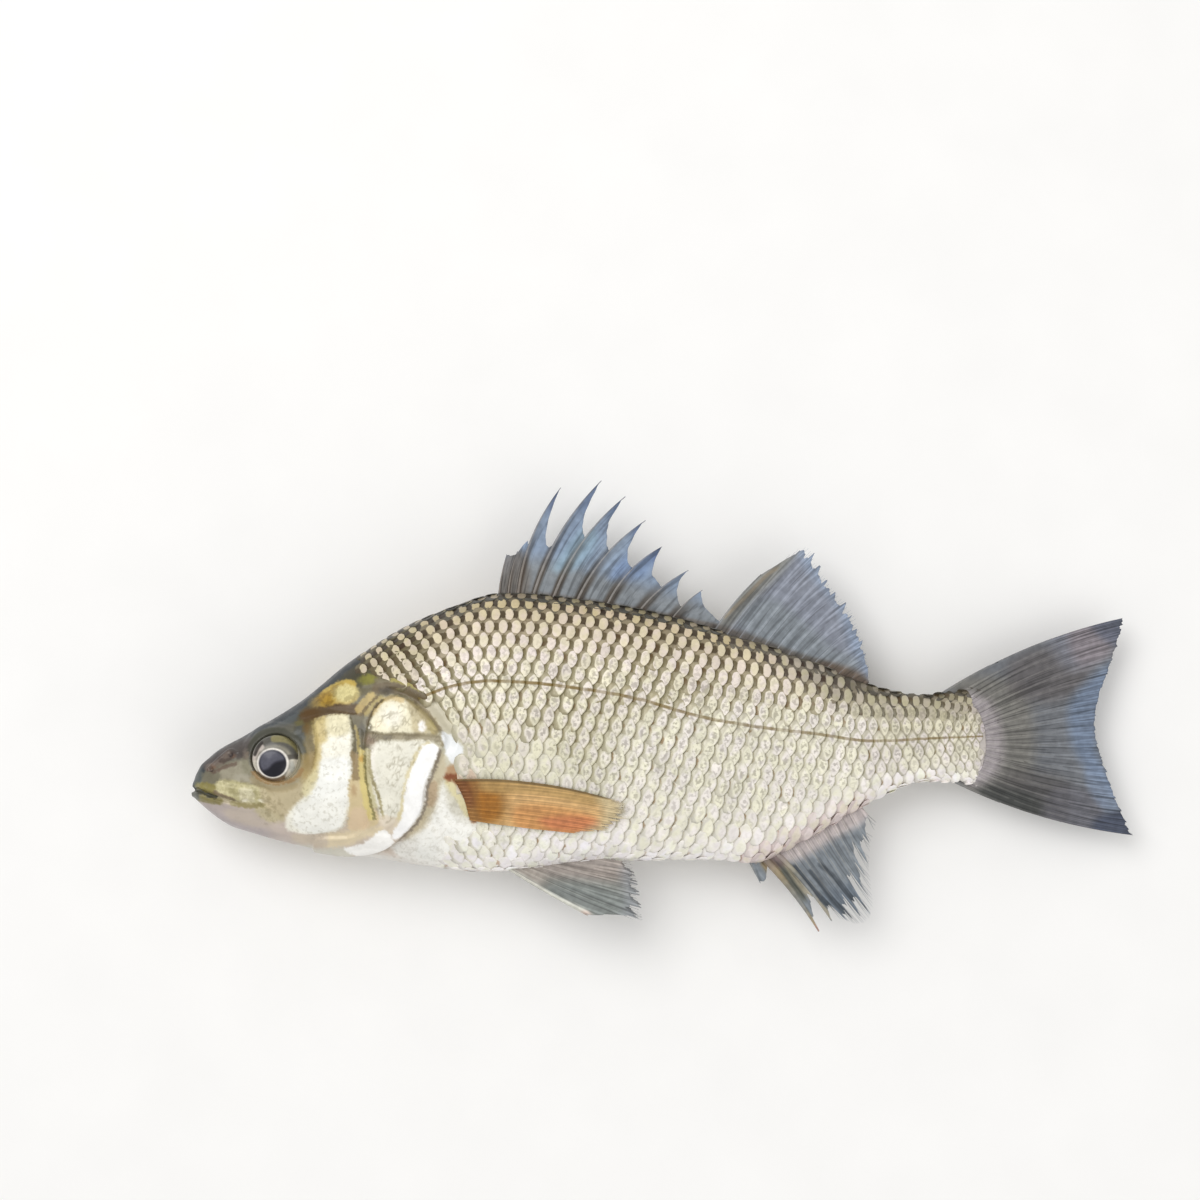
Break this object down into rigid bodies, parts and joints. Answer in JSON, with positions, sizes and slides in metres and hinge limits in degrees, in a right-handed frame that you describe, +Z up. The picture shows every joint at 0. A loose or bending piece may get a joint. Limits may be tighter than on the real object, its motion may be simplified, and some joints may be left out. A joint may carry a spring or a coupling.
{
  "type": "whole raw fish",
  "caption": "Whole raw silver fish lying on its side, with spiny and soft back fins spread, a forked tail, belly and breast fins and round eyes.",
  "frame": {"origin": "on the table, under the middle of the fish's box", "axes": "+X from the snout to the tail, +Y towards the back, +Z up out of the upturned left flank"},
  "size_m": [0.24, 0.1192, 0.033],
  "materials": {
    "skin": "wet scaly skin, silver-white belly, olive-brown back, blue-grey fins",
    "eye": "wet and clear, dark pupil in a silver iris"
  },
  "bodies": {
    "root": {"fish": "skin", "eye_left": "eye", "eye_right": "eye"}
  },
  "joints": []
}
